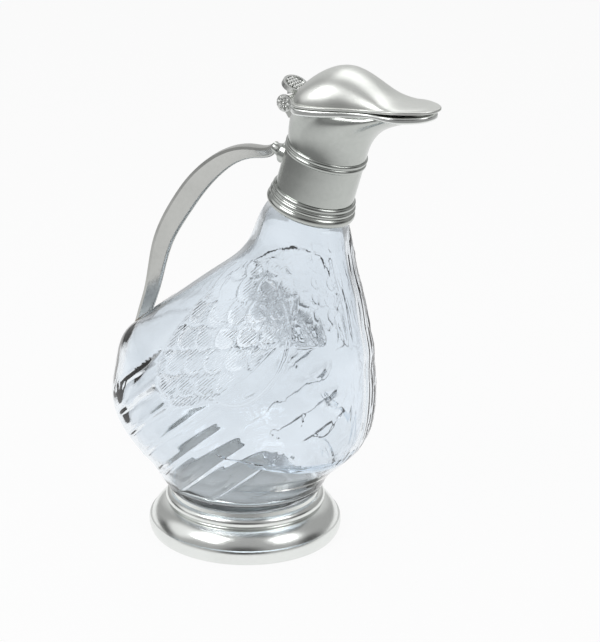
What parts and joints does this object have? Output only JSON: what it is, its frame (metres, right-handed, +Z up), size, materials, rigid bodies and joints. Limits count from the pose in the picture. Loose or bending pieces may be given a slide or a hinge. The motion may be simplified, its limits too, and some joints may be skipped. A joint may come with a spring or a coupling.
{
  "type": "claret jug",
  "caption": "Duck-shaped claret jug: glass bird on a pewter foot, with a collar, curved handle and flared spout closed by a hinged bill lid.",
  "frame": {"origin": "centre of the foot's rim, on the surface the jug stands on", "axes": "+X from the handle to the tip of the bill, +Y to the bird's left, +Z up"},
  "size_m": [0.1853, 0.1092, 0.2596],
  "materials": {
    "foot_shell": "polished pewter",
    "foot_bed": "plaster",
    "glass_body": "clear pressed glass with a faint blue tint",
    "neck_cement": "plaster",
    "collar_tube": "polished pewter",
    "collar_base_ring": "polished pewter",
    "collar_band": "polished pewter",
    "spout": "polished pewter",
    "spout_rim": "polished pewter",
    "hinge_mount": "satin pewter",
    "hinge_pin": "drawn wire",
    "hinge_rosettes": "cast pewter, darkened in the hollows",
    "handle": "polished pewter",
    "handle_ferrule": "polished pewter",
    "handle_cement": "aged cement",
    "lid_shell": "satin-polished pewter",
    "lid_knuckle": "satin pewter",
    "thumb_piece": "cast pewter, darkened in the hollows"
  },
  "bodies": {
    "decanter": {"foot_shell": "foot_shell", "foot_bed": "foot_bed", "glass_body": "glass_body", "neck_cement": "neck_cement", "collar_tube": "collar_tube", "collar_base_ring": "collar_base_ring", "collar_band": "collar_band", "spout": "spout", "spout_rim": "spout_rim", "hinge_mount": "hinge_mount", "hinge_pin": "hinge_pin", "hinge_rosettes": "hinge_rosettes", "handle": "handle", "handle_ferrule": "handle_ferrule", "handle_cement": "handle_cement"},
    "lid": {"lid_shell": "lid_shell", "lid_knuckle": "lid_knuckle", "thumb_piece": "thumb_piece"}
  },
  "joints": [
    {"name": "lid_hinge", "type": "hinge", "parent": "decanter", "child": "lid", "pos_m": [0.0259, 0, 0.2381], "axis": [0, -1, 0], "range_deg": [0, 98]}
  ]
}
